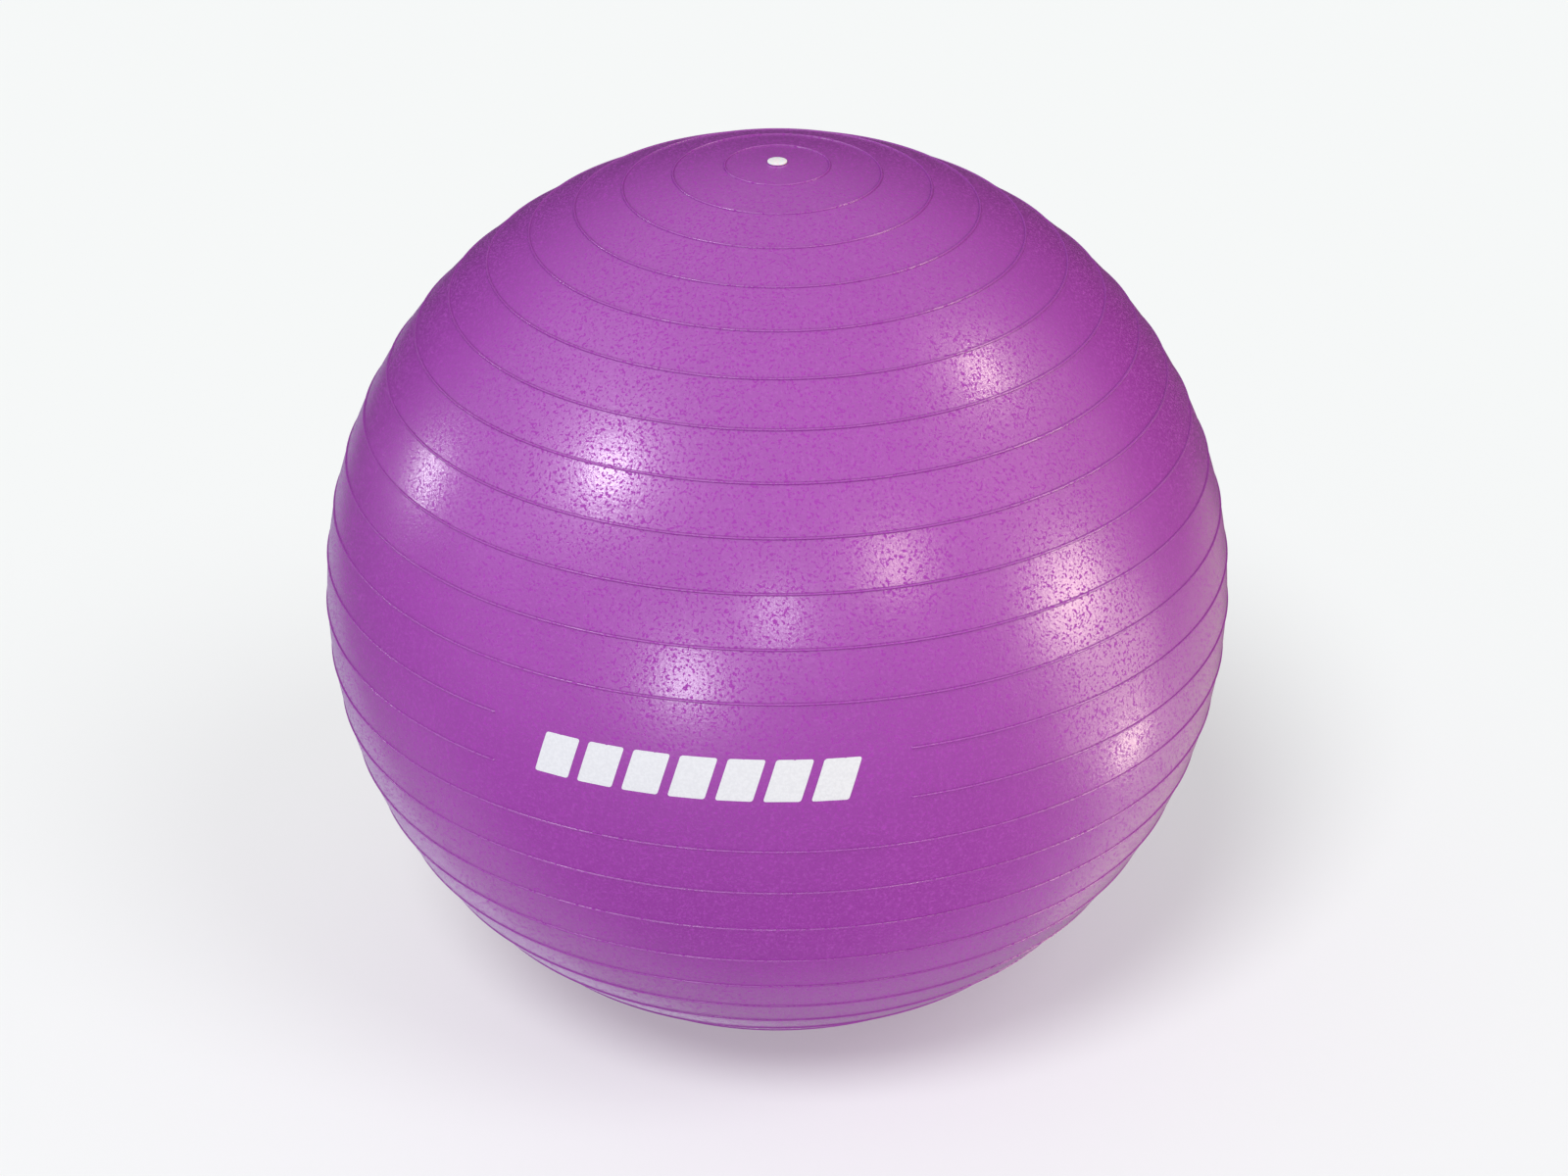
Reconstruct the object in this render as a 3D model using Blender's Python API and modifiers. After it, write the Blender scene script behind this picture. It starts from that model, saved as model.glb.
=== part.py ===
"""A gym ball: a ribbed, inflated skin, the valve seat moulded into its top, and the plug that stops the valve.

Metres, +Z up. The origin is the middle of the flat patch that the ball rests on. The valve is at the top, on the
Z axis, and the smooth panel, where two ribs stop short to leave room for a print, faces -Y.
"""

import math

import bmesh
import bpy
from mathutils import Matrix

# The skin
BALL_DIAMETER = 0.650  # over the skin between its ribs
WALL = 0.0008
BANDS = 28  # strips of skin from pole to pole, with a rib between each two
RIB_WIDTH = 0.0018
RIB_HEIGHT = 0.0009
CONTACT_RADIUS = 0.024  # the patch that the ball's own weight presses flat

# The smooth panel
PANEL_RIBS = (13, 14)  # counted from the valve: 14 is on the equator
PANEL_HALF_ANGLE = math.radians(25.85)
RIB_END_LENGTH = 0.002  # a rib slopes down to the skin over this length at each side of the panel

# The valve
FIT_GAP = 0.0003
SEAT_RADIUS = 0.0062
SEAT_LENGTH = 0.019
BORE_RADIUS = 0.0040
FLANGE_RADIUS = 0.016
FLANGE_THICKNESS = 0.002
FLANGE_RIM_THICKNESS = 0.001
HEAD_RADIUS = 0.0068
HEAD_HEIGHT = 0.0016
HEAD_RIM_HEIGHT = 0.0010
SHANK_RADIUS = 0.0030
SHANK_LENGTH = 0.018
BARB_RADIUS = BORE_RADIUS - FIT_GAP
BARB_DEPTHS = (0.0035, 0.0075, 0.0115)  # below the head, to the top of each barb
BARB_LENGTH = 0.0026
TIP_RADIUS = 0.0018
TIP_LENGTH = 0.0028

# How finely the round shapes are cut
PANEL_STEPS = 6
OPEN_STEPS = 36
VALVE_STEPS = 36
HEAD_POINTS = 6
SHARP_ANGLE = math.radians(60)

RADIUS = BALL_DIAMETER / 2
CENTRE_HEIGHT = math.sqrt(RADIUS**2 - CONTACT_RADIUS**2)
VALVE_HEIGHT = CENTRE_HEIGHT + RADIUS
HOLE_RADIUS = SEAT_RADIUS + FIT_GAP
BAND_ANGLE = math.pi / BANDS


# Each material's colour and roughness
MATERIAL_LOOKS = {
    "skin_violet": ((0.34, 0.035, 0.395, 1.0), 0.42),
    "seat_violet": ((0.26, 0.02, 0.31, 1.0), 0.50),
    "plug_white": ((0.86, 0.84, 0.86, 1.0), 0.35),
}


def make_material(name):
    colour, roughness = MATERIAL_LOOKS[name]
    material = bpy.data.materials.new(name)
    material.use_nodes = True
    surface = material.node_tree.nodes["Principled BSDF"]
    surface.inputs["Base Color"].default_value = colour
    surface.inputs["Roughness"].default_value = roughness
    surface.inputs["Metallic"].default_value = 0.0
    return material


def clear_scene():
    for old in list(bpy.data.objects):
        bpy.data.objects.remove(old)


def make_collection(name):
    collection = bpy.data.collections.new(name)
    bpy.context.scene.collection.children.link(collection)
    return collection


def add_empty(name, height, collection):
    empty = bpy.data.objects.new(name, None)
    empty.empty_display_size = 0.05
    empty.location.z = height
    collection.objects.link(empty)
    return empty


def add_object(name, mesh, parent, material, collection):
    piece = bpy.data.objects.new(name, mesh)
    piece.parent = parent
    mesh.materials.append(make_material(material))
    collection.objects.link(piece)
    return piece


def polar(radius, angle):
    """The point (x, z) at this angle from the valve, with the ball's centre at (0, 0)."""
    return radius * math.sin(angle), radius * math.cos(angle)


def skin_profile():
    """(points, crests): half a section through the skin, from the inside of the floor patch, up the inner wall,
    over the valve hole's edge and down the ribbed outside. crests maps each panel rib's crest to its place in
    points."""
    inner_radius = RADIUS - WALL
    half_rib = RIB_WIDTH / 2 / RADIUS
    ribs = range(1, BANDS)
    inner = [polar(inner_radius, rib * BAND_ANGLE) for rib in reversed(ribs)]
    floor_inside = [(0.0, WALL - CENTRE_HEIGHT), (CONTACT_RADIUS, WALL - CENTRE_HEIGHT)]
    hole_edge = [
        (HOLE_RADIUS, math.sqrt(inner_radius**2 - HOLE_RADIUS**2)),
        (HOLE_RADIUS, math.sqrt(RADIUS**2 - HOLE_RADIUS**2)),
    ]
    points = floor_inside + inner + hole_edge
    crests = {}
    for rib in ribs:
        angle = rib * BAND_ANGLE
        points.append(polar(RADIUS, angle - half_rib))
        crests[rib] = len(points)
        points.append(polar(RADIUS + RIB_HEIGHT, angle))
        points.append(polar(RADIUS, angle + half_rib))
    points += [(CONTACT_RADIUS, -CENTRE_HEIGHT), (0.0, -CENTRE_HEIGHT)]
    return points, [points[crests[rib]] for rib in PANEL_RIBS]


def spin_sweeps():
    """The turns that take the profile once round, as (angle, steps): the panel, a rib end, the rest, a rib end."""
    rib_end = RIB_END_LENGTH / RADIUS
    panel = 2 * PANEL_HALF_ANGLE
    return (
        (panel, PANEL_STEPS),
        (rib_end, 1),
        (2 * math.pi - panel - 2 * rib_end, OPEN_STEPS),
        (rib_end, 1),
    )


def sink_panel_ribs(bm, crests):
    """Presses the crests of the two short ribs down to the skin inside the panel, which starts at +X here."""
    half_step = RIB_END_LENGTH / RADIUS / 2
    for vert in bm.verts:
        x, y, z = vert.co
        out = math.hypot(x, y)
        azimuth = (math.atan2(y, x) + half_step) % (2 * math.pi)
        on_crest = any(math.dist((out, z), crest) < FIT_GAP for crest in crests)
        if on_crest and azimuth < 2 * PANEL_HALF_ANGLE + 2 * half_step:
            vert.co *= RADIUS / (RADIUS + RIB_HEIGHT)


def skin_mesh():
    points, crests = skin_profile()
    bm = bmesh.new()
    verts = [bm.verts.new((x, 0.0, z)) for x, z in points]
    chain = verts + [bm.edges.new(pair) for pair in zip(verts, verts[1:])]
    for angle, steps in spin_sweeps():
        turned = bmesh.ops.spin(bm, geom=chain, axis=(0, 0, 1), cent=(0, 0, 0), angle=angle, steps=steps)
        chain = turned["geom_last"]
    bmesh.ops.remove_doubles(bm, verts=bm.verts, dist=FIT_GAP / 100)
    sink_panel_ribs(bm, crests)
    panel_to_front = Matrix.Rotation(-math.pi / 2 - PANEL_HALF_ANGLE, 3, "Z")
    bmesh.ops.rotate(bm, verts=bm.verts, cent=(0, 0, 0), matrix=panel_to_front)
    bmesh.ops.recalc_face_normals(bm, faces=bm.faces)
    mesh = bpy.data.meshes.new("ball_skin")
    bm.to_mesh(mesh)
    bm.free()
    mesh.shade_smooth()
    mesh.set_sharp_from_angle(angle=SHARP_ANGLE)
    return mesh


def turned_piece(name, profile, closed, parent, material, collection):
    """A profile of (x, z) points, in order down its outer side, turned about Z by a Screw modifier."""
    mesh = bpy.data.meshes.new(name)
    edges = [(i, i + 1) for i in range(len(profile) - 1)]
    if closed:
        edges.append((len(profile) - 1, 0))
    mesh.from_pydata([(x, 0.0, z) for x, z in profile], edges, [])
    piece = add_object(name, mesh, parent, material, collection)
    turn = piece.modifiers.new("turn", "SCREW")
    turn.axis = "Z"
    turn.angle = 2 * math.pi
    turn.steps = VALVE_STEPS
    turn.render_steps = VALVE_STEPS
    turn.use_merge_vertices = True
    turn.merge_threshold = 1e-5
    turn.use_smooth_shade = True
    return piece


def under_skin(radius):
    """How far the skin's inside lies below the valve's origin, this far out from the axis."""
    hole_x, hole_z = HOLE_RADIUS, math.sqrt((RADIUS - WALL) ** 2 - HOLE_RADIUS**2)
    rib_x, rib_z = polar(RADIUS - WALL, BAND_ANGLE)
    along = (radius - hole_x) / (rib_x - hole_x)
    return hole_z + along * (rib_z - hole_z) - RADIUS


def seat_profile():
    """A sleeve that lines the valve hole, with a flange under the skin. Its origin is the skin's highest point."""
    top = math.sqrt(RADIUS**2 - SEAT_RADIUS**2) - RADIUS
    flange_top = under_skin(SEAT_RADIUS) - FIT_GAP
    rim_top = under_skin(FLANGE_RADIUS) - FIT_GAP
    return [
        (BORE_RADIUS, top),
        (SEAT_RADIUS, top),
        (SEAT_RADIUS, flange_top),
        (FLANGE_RADIUS, rim_top),
        (FLANGE_RADIUS, rim_top - FLANGE_RIM_THICKNESS),
        (SEAT_RADIUS + FLANGE_THICKNESS, flange_top - FLANGE_THICKNESS),
        (SEAT_RADIUS, flange_top - 2 * FLANGE_THICKNESS),
        (SEAT_RADIUS, -SEAT_LENGTH),
        (BORE_RADIUS, -SEAT_LENGTH),
    ]


def head_points():
    """The plug's low dome, from its middle out to the rim, as an arc through the crown and the rim's top edge."""
    rise = HEAD_HEIGHT - HEAD_RIM_HEIGHT
    dome_radius = (HEAD_RADIUS**2 + rise**2) / (2 * rise)
    half_angle = math.asin(HEAD_RADIUS / dome_radius)
    angles = [half_angle * i / HEAD_POINTS for i in range(HEAD_POINTS + 1)]
    crown = FIT_GAP + HEAD_HEIGHT
    return [(dome_radius * math.sin(a), crown - dome_radius * (1 - math.cos(a))) for a in angles]


def plug_profile():
    """A domed head, a shank with barbs, and a tapered tip. Its origin is the skin's highest point."""
    profile = head_points()
    profile += [(HEAD_RADIUS, FIT_GAP), (SHANK_RADIUS, FIT_GAP)]
    for depth in BARB_DEPTHS:
        profile += [
            (SHANK_RADIUS, -depth),
            (BARB_RADIUS, -depth),
            (SHANK_RADIUS, -depth - BARB_LENGTH),
        ]
    profile += [(SHANK_RADIUS, TIP_LENGTH - SHANK_LENGTH), (TIP_RADIUS, -SHANK_LENGTH), (0.0, -SHANK_LENGTH)]
    return profile


def build_ball():
    clear_scene()
    collection = make_collection("gym_ball")
    centre = add_empty("ball_centre", CENTRE_HEIGHT, collection)
    valve = add_empty("valve_axis", VALVE_HEIGHT, collection)
    add_object("ball_skin", skin_mesh(), centre, "skin_violet", collection)
    turned_piece("valve_seat", seat_profile(), True, valve, "seat_violet", collection)
    turned_piece("valve_plug", plug_profile(), False, valve, "plug_white", collection)


build_ball()
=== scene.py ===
"""The looks of a ribbed gym ball: its soft vinyl skin, the print on its panel, its valve and a plain studio.

Metres, +Z up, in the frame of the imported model. The print's panel faces -Y.
"""

import math

import bmesh
import bpy
import numpy as np
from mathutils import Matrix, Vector


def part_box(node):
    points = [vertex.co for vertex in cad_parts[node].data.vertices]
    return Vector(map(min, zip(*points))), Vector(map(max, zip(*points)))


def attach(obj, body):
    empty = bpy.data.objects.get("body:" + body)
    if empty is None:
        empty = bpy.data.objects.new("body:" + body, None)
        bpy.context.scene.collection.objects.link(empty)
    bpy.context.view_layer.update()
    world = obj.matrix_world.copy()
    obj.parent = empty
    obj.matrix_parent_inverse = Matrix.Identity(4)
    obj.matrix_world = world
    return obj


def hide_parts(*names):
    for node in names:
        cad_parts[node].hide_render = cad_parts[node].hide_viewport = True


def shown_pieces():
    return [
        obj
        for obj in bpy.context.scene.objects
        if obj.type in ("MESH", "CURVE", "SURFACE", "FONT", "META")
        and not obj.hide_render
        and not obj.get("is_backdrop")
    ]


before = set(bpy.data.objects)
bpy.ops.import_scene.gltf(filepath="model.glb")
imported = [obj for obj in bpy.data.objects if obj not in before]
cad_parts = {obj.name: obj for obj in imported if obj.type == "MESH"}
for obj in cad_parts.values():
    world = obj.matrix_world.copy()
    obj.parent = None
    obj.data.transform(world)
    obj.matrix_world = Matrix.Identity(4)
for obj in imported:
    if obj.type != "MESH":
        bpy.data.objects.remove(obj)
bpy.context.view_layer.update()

# What the frame says about the ball
SKIN_LOW, SKIN_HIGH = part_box("ball_skin")
SEAT_LOW, SEAT_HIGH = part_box("valve_seat")
PLUG_LOW, PLUG_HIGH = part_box("valve_plug")
FIT_GAP = 0.0003  # between the plug, the seat and the skin
SEAT_NECK_RADIUS = 0.0062
HOLE_RADIUS = SEAT_NECK_RADIUS + FIT_GAP
RADIUS = -SKIN_LOW.y  # the smooth panel's middle
RIB_HEIGHT = SKIN_HIGH.y - RADIUS
CENTRE_HEIGHT = SKIN_HIGH.z - math.sqrt(RADIUS**2 - HOLE_RADIUS**2)
CONTACT_RADIUS = math.sqrt(RADIUS**2 - CENTRE_HEIGHT**2)
VALVE_HEIGHT = CENTRE_HEIGHT + RADIUS

# The skin
BANDS = 28
BAND_PITCH = math.pi / BANDS
BAND_FLATTENING = 0.00008  # how far the middle of a band lies inside the sphere
WALL = 0.0008
RIB_HALF_WIDTH = 0.0009
RIB_ROUNDING = (2.2, 0.8)  # the powers in a rib's section: see rib_shape
RIB_END_LENGTH = 0.0016
CREASE_WIDTH = 0.45  # in half widths of a rib
PANEL_RIBS = (13, 14)
PANEL_HALF_ANGLE = math.radians(25.85)
PANEL_FADE = 0.1  # the angle over which the round panel turns into flatter bands

# How finely the skin is cut
SKIN_COLUMNS = 240
RIB_END_COLUMNS = np.linspace(-0.2, 1.2, 8)  # in lengths of a rib's end
RIB_ROWS = (-1.6, -1.0, -0.85, -0.5, 0.0, 0.5, 0.85, 1.0, 1.6)  # in half widths of a rib
BAND_ROWS = (1 / 3, 2 / 3)
INNER_ROWS = 14
SKIN_SHARP_ANGLE = math.radians(60)

# The vinyl
PEEL_SIZE = 0.0024
PEEL_DEPTH = 0.0001
PIT_SPACING = 0.0019
PIT_EDGE = (0.57, 0.61)  # where in the noise a pit starts, and where it is fully a pit
PIT_DEPTH = 0.00002
MOTTLE_SIZE = 0.0024
CLOUD_SIZE = 0.05
VIOLET = (0.338, 0.023, 0.395, 1.0)
PALE_VIOLET = (0.42, 0.052, 0.49, 1.0)
# Deep violet clouds the vinyl at random, and is also mixed into the pits as painted shade
DEEP_VIOLET = (0.26, 0.014, 0.31, 1.0)
# Painted shade, mixed into the vinyl's colour along the ribs' feet
CREASE_SHADE_VIOLET = (0.12, 0.008, 0.15, 1.0)
VINYL_IOR = 1.7

# The print: a row of slanted bars
PRINT_BARS = 7
PRINT_WIDTH = 0.226
PRINT_HEIGHT = 0.031
PRINT_GAP = 0.007
PRINT_SLANT = 0.009
PRINT_LOW_ANGLE = math.radians(89.4)  # from the valve, to the bars' lower edge
BAR_WIDTH = (PRINT_WIDTH - PRINT_SLANT - PRINT_GAP * (PRINT_BARS - 1)) / PRINT_BARS
BAR_RINGS = (1.0, 0.97, 0.8, 0.6, 0.4, 0.2)  # the nested outlines in a bar, as shares of its size
INK_THICKNESS = 0.00015
INK_CORNER = 0.0018
INK_SHARP_ANGLE = math.radians(50)

# The valve
BORE_RADIUS = 0.0040
FLANGE_THICKNESS = 0.002
PLUG_RIM_HEIGHT = 0.0010
SHANK_RADIUS = 0.0030
BARB_RADIUS = 0.0037
BARB_DEPTHS = (0.0035, 0.0075, 0.0115)  # below the skin's highest point, to the top of each barb
BARB_LENGTH = 0.0026
TIP_RADIUS = 0.0018
TIP_LENGTH = 0.0028
CORNER_RADIUS = 0.0002
CORNER_ANGLE = math.radians(20)
CORNER_STEPS = 3
DOME_POINTS = 16
TURN_STEPS = 96
MERGE_DISTANCE = 1e-6

# The camera
CAMERA_AZIMUTH = math.radians(9.95)
CAMERA_ELEVATION = math.radians(27.5)
CAMERA_DISTANCE = 9.83 * RADIUS
CAMERA_LENS = 101.07
CAMERA_SHIFT_X = 0.0043
CAMERA_SHIFT_Y = -0.0056

# The floor
FLOOR_HALF_SIZE = 40.0
FLOOR_GREY = 0.6
FLOOR_GLOW = 0.307

# The sky: its brightness against the sine of the elevation, on the camera's side and behind the ball
SKY_FRONT = ((-1.0, 0.0), (-0.5, 0.03), (-0.1, 0.27), (0.12, 0.33), (0.42, 0.40), (0.75, 0.53), (1.0, 0.53))
SKY_BACK = (
    (-1.0, 0.37), (-0.7, 0.37), (-0.5, 0.17), (-0.3, 0.06), (0.0, 0.03),
    (0.12, 0.05), (0.42, 0.16), (0.75, 0.53), (1.0, 0.53),
)
SKY_SEAM = 0.15  # how far to each side of the seam the two blend, as the sine of the angle
SKY_LEAN = 0.25  # how much brighter the sky is far left, and how much darker far right
SKY_SEEN = 0.93  # its even brightness where the camera sees it past the floor's edge

# The lights, as (azimuth, elevation, share, width, colour): add_light says what they mean
COOL = (0.90, 0.95, 1.15)
PLAIN = (0.97, 1.02, 1.01)
WARM = (1.16, 1.05, 0.79)
FLOOR_PANELS = {
    "panel_left": (-20, 50, 0.60, 0.35, PLAIN),
    "panel_right": (45, 50, 0.20, 0.45, PLAIN),
}
BALL_LAMPS = {
    "left_high": (-60, 42, 0.205, 0.12, PLAIN),
    "left_low": (-110, 8, 0.07, 0.11, PLAIN),
    "right_high": (100, 46, 0.073, 0.11, WARM),
    "front_right": (33, 27.5, 0.083, 0.14, WARM),
    "front": (0, 18.6, 0.062, 0.06, PLAIN),
    "front_low": (-22, 1, 0.125, 0.15, PLAIN),
    "right_low": (77.5, 2.5, 0.195, 0.32, WARM),
    "right_under": (103, -32, 0.045, 0.11, WARM),
    "fill_left": (-90, 35, 0.058, 1.0, COOL),
    "fill_right": (90, 30, 0.085, 1.0, WARM),
    "fill_low_right": (90, -18, 0.10, 0.5, WARM),
    "rim_left": (-160, -36, 0.050, 0.7, COOL),
    "rim_right": (135, -33, 0.046, 0.7, WARM),
}
SOFT_LAMPS = {
    "soft_top": (0, 80, 0.21, 1.2, PLAIN),
    "soft_front": (0, 15, 0.075, 1.2, PLAIN),
}


# ---------------------------------------------------------------- meshes


def grid_faces(rows, columns):
    """Quads over a grid of rows x columns points, whose last column joins the first."""
    index = np.arange(rows * columns).reshape(rows, columns)
    after = np.roll(index, -1, axis=1)
    quads = np.stack([index[:-1], index[1:], after[1:], after[:-1]], axis=-1)
    return [tuple(quad) for quad in quads.reshape(-1, 4)]


def fan_faces(start, count, middle):
    """Triangles from a ring of count points, the first of which is point start, to its middle point."""
    return [(start + i, middle, start + (i + 1) % count) for i in range(count)]


def new_mesh_object(name, points, faces, material):
    mesh = bpy.data.meshes.new(name)
    mesh.from_pydata([tuple(point) for point in points], [], faces)
    mesh.validate()
    mesh.shade_smooth()
    mesh.materials.append(material)
    piece = bpy.data.objects.new(name, mesh)
    bpy.context.scene.collection.objects.link(piece)
    return piece


# ---------------------------------------------------------------- materials


class Nodes:
    """Builds the node tree of a material or a world with short calls."""

    def __init__(self, owner, place):
        """place names the texture coordinate that the patterns are laid out on."""
        owner.use_nodes = True
        self.owner = owner
        self.tree = owner.node_tree
        self.place = self.node("ShaderNodeTexCoord").outputs[place]

    def node(self, kind, inputs=None, **settings):
        made = self.tree.nodes.new(kind)
        for key, value in settings.items():
            setattr(made, key, value)
        self.set_inputs(made, inputs or {})
        return made

    def set_inputs(self, node, inputs):
        """Gives each of these inputs a value, or links it to another node's output."""
        for key, value in inputs.items():
            if isinstance(value, bpy.types.NodeSocket):
                self.tree.links.new(value, node.inputs[key])
            else:
                node.inputs[key].default_value = value

    def shade(self, inputs, shader="Principled BSDF"):
        """Sets inputs of the shader that the tree ends in, and returns the tree's material or world."""
        self.set_inputs(self.tree.nodes[shader], inputs)
        return self.owner

    def noise(self, size, detail=2.0, roughness=0.5, distortion=0.0):
        """A noise whose features are about this many metres across, from 0 to 1."""
        shape = {"Scale": 1 / size, "Detail": detail, "Roughness": roughness, "Distortion": distortion}
        return self.node("ShaderNodeTexNoise", {"Vector": self.place, **shape}).outputs["Fac"]

    def ramp(self, value, low, high, to_low=0.0, to_high=1.0):
        """A smooth step from to_low, where the value is low, up or down to to_high, where it is high."""
        limits = {"From Min": low, "From Max": high, "To Min": to_low, "To Max": to_high}
        made = self.node("ShaderNodeMapRange", {"Value": value, **limits}, interpolation_type="SMOOTHSTEP")
        return made.outputs["Result"]

    def vary(self, mask, at_none, at_full):
        """A value that goes smoothly from at_none, where the mask is 0, to at_full, where it is 1."""
        return self.ramp(mask, 0.0, 1.0, at_none, at_full)

    def math(self, operation, *values):
        return self.node("ShaderNodeMath", dict(enumerate(values)), operation=operation).outputs[0]

    def dot(self, vector):
        """The dot product of the place and this vector."""
        made = self.node("ShaderNodeVectorMath", {0: self.place, 1: vector}, operation="DOT_PRODUCT")
        return made.outputs["Value"]

    def blend(self, factor, first, second):
        made = self.node("ShaderNodeMix", {"Factor": factor, "A": first, "B": second}, data_type="RGBA")
        return made.outputs["Result"]

    def tint(self, base, colour, mask, share):
        """The base, with this share of another colour mixed in where the mask is 1."""
        return self.blend(self.math("MULTIPLY", mask, share), base, colour)

    def bump(self, height, distance, strength=1.0, normal=None):
        inputs = {"Height": height, "Distance": distance, "Strength": strength}
        if normal is not None:
            inputs["Normal"] = normal
        return self.node("ShaderNodeBump", inputs).outputs["Normal"]


def material_nodes(name):
    return Nodes(bpy.data.materials.new(name), "Object")


def vinyl_grain(nodes):
    """(pits, normal): small worm-shaped pits in a surface with a fine orange peel."""
    pits = nodes.ramp(nodes.noise(PIT_SPACING, detail=1.0, distortion=0.2), *PIT_EDGE)
    normal = nodes.bump(nodes.noise(PEEL_SIZE, detail=1.0), PEEL_DEPTH)
    normal = nodes.bump(nodes.math("SUBTRACT", 1.0, pits), PIT_DEPTH, normal=normal)
    return pits, normal


def vinyl(name):
    """Glossy vinyl, clouded and mottled, with matt pits and duller creases at the ribs' feet; shade is
    painted darker into the creases and, less, into the pits.
    """
    nodes = material_nodes(name)
    pits, normal = vinyl_grain(nodes)
    clouds = nodes.ramp(nodes.noise(CLOUD_SIZE, detail=3.0), 0.35, 0.65)
    mottle = nodes.ramp(nodes.noise(MOTTLE_SIZE, detail=3.0, roughness=0.6), 0.50, 0.66)
    # The mask of the ribs' feet, where shade is painted and the coat is duller
    crease_shade = nodes.node("ShaderNodeAttribute", attribute_name="crease_shade").outputs["Fac"]
    colour = nodes.tint(VIOLET, DEEP_VIOLET, clouds, 0.12)
    colour = nodes.tint(colour, PALE_VIOLET, mottle, 0.42)
    # Painted shade: the sunken pits are darkened in the colour
    colour = nodes.tint(colour, DEEP_VIOLET, pits, 0.15)
    # Painted shade: the creases at the ribs' feet are darkened in the colour
    colour = nodes.tint(colour, CREASE_SHADE_VIOLET, crease_shade, 0.4)
    return nodes.shade({
        "Base Color": colour,
        "Roughness": nodes.vary(pits, 0.42, 0.85),
        "IOR": VINYL_IOR,
        "Specular IOR Level": nodes.vary(pits, 0.5, 0.4),
        "Normal": normal,
        "Coat Weight": nodes.math("MULTIPLY", nodes.vary(crease_shade, 1.0, 0.15), nodes.vary(pits, 1.0, 0.3)),
        "Coat Roughness": nodes.vary(pits, 0.26, 0.9),
        "Coat IOR": VINYL_IOR,
        "Coat Normal": normal,
    })


def ink(name):
    """Matt white ink, unevenly worn, over the vinyl's grain."""
    nodes = material_nodes(name)
    pits, normal = vinyl_grain(nodes)
    worn = nodes.ramp(nodes.noise(0.0022, detail=3.0), 0.40, 0.62)
    return nodes.shade({
        "Base Color": nodes.blend(worn, (0.72, 0.71, 0.77, 1.0), (0.76, 0.75, 0.81, 1.0)),
        "Roughness": nodes.vary(pits, 0.45, 0.6),
        "Normal": normal,
    })


def polythene(name):
    """White polythene, slightly cloudy and waxy."""
    nodes = material_nodes(name)
    cloud = nodes.noise(0.004, detail=3.0)
    return nodes.shade({
        "Base Color": nodes.blend(cloud, (0.86, 0.82, 0.86, 1.0), (0.93, 0.90, 0.93, 1.0)),
        "Roughness": nodes.ramp(nodes.noise(0.0015), 0.3, 0.7, 0.25, 0.4),
        "Subsurface Weight": 0.2,
        "Subsurface Scale": 0.002,
        "Normal": nodes.bump(nodes.noise(0.0008, detail=3.0), 0.00004, 0.5),
    })


def floor_white(name):
    """Matt and pale, with a glow of its own, so that the ball's shadow stays light."""
    nodes = material_nodes(name)
    return nodes.shade({
        "Base Color": (FLOOR_GREY, FLOOR_GREY, FLOOR_GREY, 1.0),
        "Roughness": 0.9,
        "Specular IOR Level": 0.1,
        "Emission Color": (1.0, 1.0, 1.0, 1.0),
        "Emission Strength": FLOOR_GLOW,
    })


# ---------------------------------------------------------------- the skin


def on_ball(polar, azimuth, radius):
    """Points at these angles from the valve and azimuths, which count from the panel's middle at -Y."""
    out = radius * np.sin(polar)
    height = CENTRE_HEIGHT + radius * np.cos(polar)
    return np.stack([out * np.sin(azimuth), -out * np.cos(azimuth), height], axis=-1)


def rib_shape(across):
    """A rib's height, as a share of its full height, at this many half widths from its middle."""
    fall, shoulder = RIB_ROUNDING
    return np.clip(1 - np.abs(across) ** fall, 0, 1) ** shoulder


def skin_rows():
    """The polar angles of the skin's rows, from the valve hole to the floor patch."""
    half_rib = RIB_HALF_WIDTH / RADIUS
    edge = RIB_ROWS[-1] * half_rib
    first, last = math.asin(HOLE_RADIUS / RADIUS), math.pi - math.asin(CONTACT_RADIUS / RADIUS)
    rows = [first]
    for rib in range(1, BANDS + 1):
        start, end = rows[-1], min(rib * BAND_PITCH - edge, last)
        rows += [start + (end - start) * share for share in BAND_ROWS]
        if rib < BANDS:
            rows += [rib * BAND_PITCH + across * half_rib for across in RIB_ROWS]
    return np.array(rows + [last])


def skin_columns():
    """The azimuths of the skin's columns from the panel's middle, close together where its ribs end."""
    even = np.arange(SKIN_COLUMNS) * 2 * math.pi / SKIN_COLUMNS
    end = RIB_END_LENGTH / RADIUS
    near = PANEL_HALF_ANGLE + end * RIB_END_COLUMNS
    near = np.append(near, 2 * math.pi - near)
    clear = np.abs(even[:, None] - near).min(axis=1) > end / 4
    return np.sort(np.append(even[clear], near))


def from_panel(azimuth):
    """The angle from the panel's middle, on either side of it."""
    return np.minimum(azimuth, 2 * math.pi - azimuth)


def rib_presence(polar, azimuth):
    """(across, share): half widths from the nearest rib's middle, and how much of that rib is here."""
    place = polar / BAND_PITCH
    rib = np.round(place)
    across = (place - rib) * BAND_PITCH * RADIUS / RIB_HALF_WIDTH
    along = np.clip((from_panel(azimuth) - PANEL_HALF_ANGLE) * RADIUS / RIB_END_LENGTH, 0, 1)
    ended = np.sqrt(1 - (1 - along) ** 2)
    share = np.where(np.isin(rib, PANEL_RIBS), ended, 1.0)
    return across, share * ((rib > 0) & (rib < BANDS))


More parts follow.
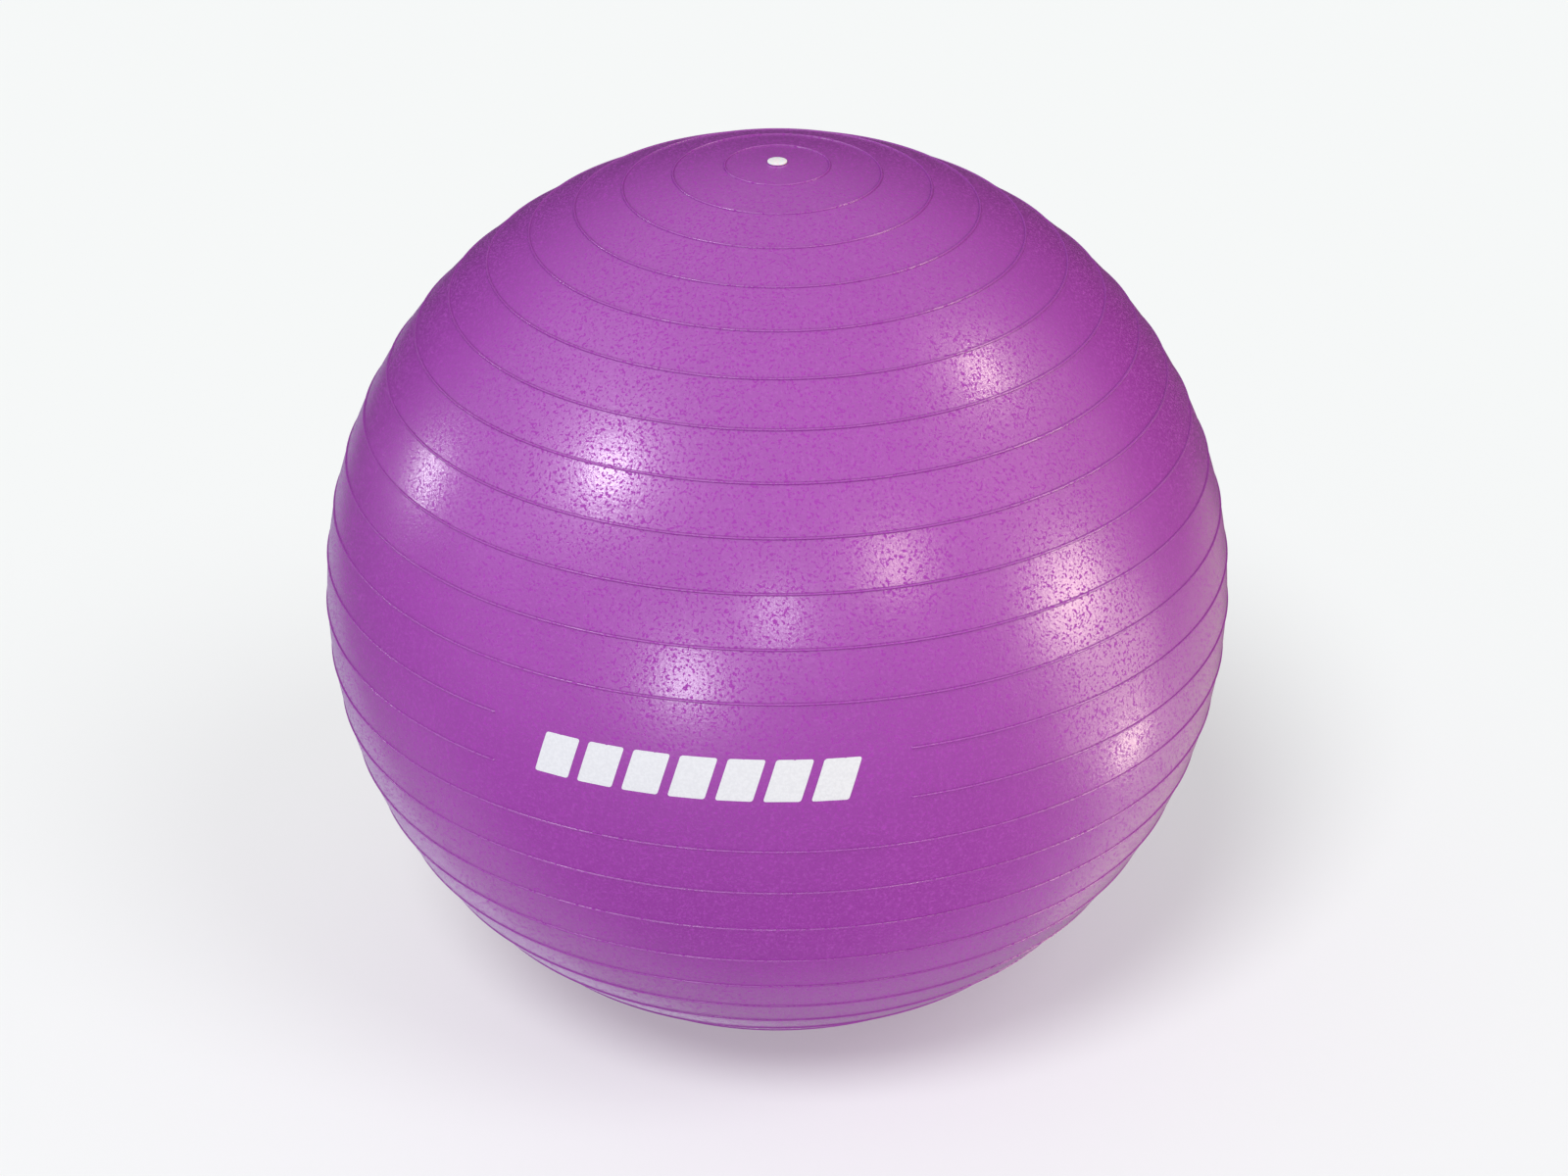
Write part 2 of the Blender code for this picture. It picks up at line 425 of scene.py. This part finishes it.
def band_hollow(polar, azimuth):
    """How far the skin lies inside the sphere between two ribs: on the panel it stays round."""
    place = polar / BAND_PITCH
    band = np.floor(place)
    share = place - band
    inside_panel = (PANEL_HALF_ANGLE + PANEL_FADE / 2 - from_panel(azimuth)) / PANEL_FADE
    on_panel = np.isin(band, (PANEL_RIBS[0] - 1, *PANEL_RIBS)) * np.clip(inside_panel, 0, 1)
    return BAND_FLATTENING * 4 * share * (1 - share) * (1 - on_panel)


def skin_height(polar, azimuth):
    """How far the skin stands out from the sphere, over a grid of polar angles and azimuths."""
    across, present = rib_presence(polar, azimuth)
    return rib_shape(across) * RIB_HEIGHT * present - band_hollow(polar, azimuth)


def skin_crease_shade(polar, azimuth):
    """1 along the foot of each rib, where the vinyl folds, its coat is duller and shade is painted into its
    colour, and 0 on the bands and the ribs' backs.
    """
    across, present = rib_presence(polar, azimuth)
    return np.clip(1 - np.abs(np.abs(across) - 1) / CREASE_WIDTH, 0, 1) * present


def build_skin(material):
    """The inside, from the floor patch up, then the outside, back down, closed by two round patches."""
    rows, columns = skin_rows(), skin_columns()
    polar, azimuth = np.meshgrid(rows, columns, indexing="ij")
    outer = on_ball(polar, azimuth, RADIUS + skin_height(polar, azimuth)).reshape(-1, 3)
    crease_shade = skin_crease_shade(polar, azimuth).ravel()
    inner_radius = RADIUS - WALL
    first = math.asin(HOLE_RADIUS / inner_radius)
    last = math.pi - math.asin(CONTACT_RADIUS / inner_radius)
    polar, azimuth = np.meshgrid(np.linspace(last, first, INNER_ROWS), columns, indexing="ij")
    inner = on_ball(polar, azimuth, inner_radius).reshape(-1, 3)
    patches = [(0, 0, 0), (0, 0, WALL)]
    points = np.concatenate([inner, outer, patches])
    all_rows, count = INNER_ROWS + len(rows), len(columns)
    bottom, top = len(points) - 2, len(points) - 1
    faces = grid_faces(all_rows, count)
    faces += fan_faces((all_rows - 1) * count, count, bottom)
    faces += [face[::-1] for face in fan_faces(0, count, top)]
    skin = new_mesh_object("skin", points, faces, material)
    # Stored on the points for the vinyl: where shade is painted at the ribs' feet
    crease_shade_layer = skin.data.attributes.new("crease_shade", "FLOAT", "POINT")
    crease_shade_layer.data.foreach_set("value", np.concatenate([np.zeros(len(inner)), crease_shade, (0, 0)]))
    skin.data.set_sharp_from_angle(angle=SKIN_SHARP_ANGLE)
    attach(skin, "ball")
    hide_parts("ball_skin")


# ---------------------------------------------------------------- the print


def bar_outline(width, height, corner, steps=5, side_steps=10):
    """A rounded rectangle about (0, 0), as (x, y) points, with more up its sides, so that it can bend."""
    points = []
    for quarter, (sx, sy) in enumerate(((1, 1), (-1, 1), (-1, -1), (1, -1))):
        for i in range(steps):
            angle = math.pi / 2 * (quarter + i / (steps - 1))
            x = sx * (width / 2 - corner) + corner * math.cos(angle)
            y = sy * (height / 2 - corner) + corner * math.sin(angle)
            points.append((x, y))
        if quarter in (1, 3):
            reach = height - 2 * corner
            points += [(x, y - sy * reach * i / side_steps) for i in range(1, side_steps)]
    return points


def build_bar(index, material):
    """One slanted bar: nested copies of its outline, wrapped round the skin to follow its curve."""
    outline = np.array(bar_outline(BAR_WIDTH, PRINT_HEIGHT, INK_CORNER))
    flat = np.concatenate([outline * share for share in BAR_RINGS] + [[[0, 0]]])
    middle = (index - (PRINT_BARS - 1) / 2) * (BAR_WIDTH + PRINT_GAP)
    azimuth = (middle + flat[:, 0] + PRINT_SLANT * flat[:, 1] / PRINT_HEIGHT) / RADIUS
    polar = PRINT_LOW_ANGLE - (flat[:, 1] + PRINT_HEIGHT / 2) / RADIUS
    top = on_ball(polar, azimuth, RADIUS + INK_THICKNESS)
    under = on_ball(polar, azimuth, RADIUS - INK_THICKNESS)
    count, centre = len(outline), len(flat) - 1
    sheet = grid_faces(len(BAR_RINGS), count) + fan_faces(centre - count, count, centre)
    below = len(flat)
    faces = sheet + [tuple(below + corner for corner in face[::-1]) for face in sheet]
    faces += [(i, (i + 1) % count, below + (i + 1) % count, below + i) for i in range(count)]
    bar = new_mesh_object(f"print_bar_{index + 1}", np.concatenate([top, under]), faces, material)
    bar.data.set_sharp_from_angle(angle=INK_SHARP_ANGLE)
    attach(bar, "ball")


# ---------------------------------------------------------------- the valve


def turned_piece(name, profile, material):
    """A profile of (x, z) points, in order down its outer side, turned about Z, with rounded corners."""
    turn = np.arange(TURN_STEPS) * 2 * math.pi / TURN_STEPS
    out, height = np.array(profile).T[..., None]
    rings = np.stack(np.broadcast_arrays(out * np.cos(turn), out * np.sin(turn), height), axis=-1)
    piece = new_mesh_object(name, rings.reshape(-1, 3), grid_faces(len(rings), TURN_STEPS), material)
    shape = bmesh.new()
    shape.from_mesh(piece.data)
    bmesh.ops.remove_doubles(shape, verts=shape.verts, dist=MERGE_DISTANCE)
    bmesh.ops.recalc_face_normals(shape, faces=shape.faces)
    corners = [edge for edge in shape.edges if edge.calc_face_angle(0) > CORNER_ANGLE]
    rounding = {"offset": CORNER_RADIUS, "segments": CORNER_STEPS, "profile": 0.5, "affect": "EDGES"}
    bmesh.ops.bevel(shape, geom=corners, **rounding)
    for face in shape.faces:
        face.smooth = True
    shape.to_mesh(piece.data)
    shape.free()
    return piece


def plug_profile():
    """A low domed head, a shank with three barbs, and a tapered tip."""
    head = PLUG_HIGH.x
    underside = VALVE_HEIGHT + FIT_GAP
    rise = PLUG_HIGH.z - underside - PLUG_RIM_HEIGHT
    dome_radius = (head**2 + rise**2) / (2 * rise)
    angles = np.linspace(0, math.asin(head / dome_radius), DOME_POINTS)
    profile = [(dome_radius * math.sin(a), PLUG_HIGH.z - dome_radius * (1 - math.cos(a))) for a in angles]
    profile += [(head, underside), (SHANK_RADIUS, underside)]
    for depth in BARB_DEPTHS:
        top = VALVE_HEIGHT - depth
        profile += [(SHANK_RADIUS, top), (BARB_RADIUS, top), (SHANK_RADIUS, top - BARB_LENGTH)]
    low = PLUG_LOW.z
    return profile + [(SHANK_RADIUS, low + TIP_LENGTH), (TIP_RADIUS, low), (0.0, low)]


def seat_profile():
    """A sleeve in the skin's hole, on a flange that follows the inside of the skin."""
    inside = RADIUS - WALL - FIT_GAP
    flange_top = CENTRE_HEIGHT + math.sqrt(inside**2 - HOLE_RADIUS**2)
    rim = SEAT_HIGH.x
    rim_top = CENTRE_HEIGHT + math.sqrt(inside**2 - rim**2)
    neck = SEAT_NECK_RADIUS
    bore_top = (BORE_RADIUS, SEAT_HIGH.z)
    return [
        bore_top,
        (neck, SEAT_HIGH.z),
        (neck, flange_top),
        (rim, rim_top),
        (rim, rim_top - FLANGE_THICKNESS / 2),
        (neck + FLANGE_THICKNESS, flange_top - FLANGE_THICKNESS),
        (neck, flange_top - 2 * FLANGE_THICKNESS),
        (neck, SEAT_LOW.z),
        (BORE_RADIUS, SEAT_LOW.z),
        bore_top,
    ]


def build_valve(plug_material, seat_material):
    plug = turned_piece("plug", plug_profile(), plug_material)
    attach(plug, "plug")
    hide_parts("valve_plug")
    seat = turned_piece("valve_sleeve", seat_profile(), seat_material)
    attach(seat, "ball")
    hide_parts("valve_seat")


# ---------------------------------------------------------------- the studio


def direction(azimuth, elevation):
    """A unit vector at this azimuth, counted from the camera's and to its right, and this elevation."""
    angle = CAMERA_AZIMUTH + math.radians(azimuth)
    rise = math.radians(elevation)
    return Vector((math.sin(angle) * math.cos(rise), -math.cos(angle) * math.cos(rise), math.sin(rise)))


def facing(away):
    """The rotation of a camera or a light whose back is turned to this direction."""
    return away.to_track_quat("Z", "Y").to_euler()


def add_camera():
    data = bpy.data.cameras.new("camera")
    data.lens = CAMERA_LENS
    data.shift_x = CAMERA_SHIFT_X
    data.shift_y = CAMERA_SHIFT_Y
    camera = bpy.data.objects.new("camera", data)
    back = direction(0, math.degrees(CAMERA_ELEVATION))
    camera.location = Vector((0, 0, CENTRE_HEIGHT)) + back * CAMERA_DISTANCE
    camera.rotation_euler = facing(back)
    bpy.context.scene.collection.objects.link(camera)
    bpy.context.scene.camera = camera


def add_light(name, azimuth, elevation, share, width, colour):
    """A round soft light, far away. share is the irradiance it gives, over pi, on a surface that faces it,
    and width is the angle it spans, in radians."""
    data = bpy.data.lights.new(name, "SUN")
    data.angle = width
    data.energy = share * math.pi
    data.color = colour
    light = bpy.data.objects.new(name, data)
    light.rotation_euler = facing(direction(azimuth, elevation))
    bpy.context.scene.collection.objects.link(light)
    return light


def gather(name, objects):
    collection = bpy.data.collections.new(name)
    bpy.context.scene.collection.children.link(collection)
    for thing in objects:
        collection.objects.link(thing)
    return collection


def add_lights(ball, ground):
    """Panels light the ground alone, and lamps light the ball alone. Soft lamps give no highlights."""
    for name, settings in FLOOR_PANELS.items():
        add_light(name, *settings).light_linking.receiver_collection = ground
    for name, settings in (BALL_LAMPS | SOFT_LAMPS).items():
        lamp = add_light(name, *settings)
        lamp.visible_glossy = name not in SOFT_LAMPS
        lamp.light_linking.receiver_collection = ball


def sky_curve(nodes, rise, stops):
    """The brightness that these (height, brightness) stops give at this rise, from -1 to 1."""
    ramp = nodes.node("ShaderNodeValToRGB", {"Fac": nodes.math("MULTIPLY_ADD", rise, 0.5, 0.5)})
    marks = ramp.color_ramp.elements
    marks.remove(marks[1])
    for number, (height, brightness) in enumerate(stops):
        place = (height + 1) / 2
        mark = marks[0] if number == 0 else marks.new(place)
        mark.position = place
        mark.color = (brightness, brightness, brightness, 1.0)
    return ramp.outputs["Color"]


def add_world():
    nodes = Nodes(bpy.data.worlds.new("studio"), "Generated")
    rise = nodes.node("ShaderNodeSeparateXYZ", {0: nodes.place}).outputs["Z"]
    front = nodes.ramp(nodes.dot(direction(0, 0)), -SKY_SEAM, SKY_SEAM)
    sky = nodes.blend(front, sky_curve(nodes, rise, SKY_BACK), sky_curve(nodes, rise, SKY_FRONT))
    lean = nodes.math("MULTIPLY_ADD", nodes.dot(direction(90, 0)), -SKY_LEAN, 1.0)
    leaning = nodes.node("ShaderNodeVectorMath", {0: sky, "Scale": lean}, operation="SCALE")
    to_camera = nodes.node("ShaderNodeLightPath").outputs["Is Camera Ray"]
    colour = nodes.blend(to_camera, leaning.outputs["Vector"], (SKY_SEEN, SKY_SEEN, SKY_SEEN, 1.0))
    world = nodes.shade({"Color": colour}, shader="Background")
    world.cycles.sampling_method = "NONE"
    bpy.context.scene.world = world


def add_floor():
    size = FLOOR_HALF_SIZE
    corners = [(-size, -size, 0), (size, -size, 0), (size, size, 0), (-size, size, 0)]
    floor = new_mesh_object("floor", corners, [(0, 1, 2, 3)], floor_white("floor_white"))
    floor.visible_glossy = False
    floor.visible_shadow = False
    floor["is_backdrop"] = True
    return floor


def build_ball():
    violet, white = vinyl("soft_vinyl"), ink("white_ink")
    build_skin(violet)
    for index in range(PRINT_BARS):
        build_bar(index, white)
    build_valve(polythene("white_polythene"), violet)


def build_studio():
    add_lights(ball=gather("ball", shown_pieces()), ground=gather("ground", [add_floor()]))
    add_world()
    add_camera()
    bpy.context.scene.view_settings.view_transform = "Standard"


build_ball()
build_studio()
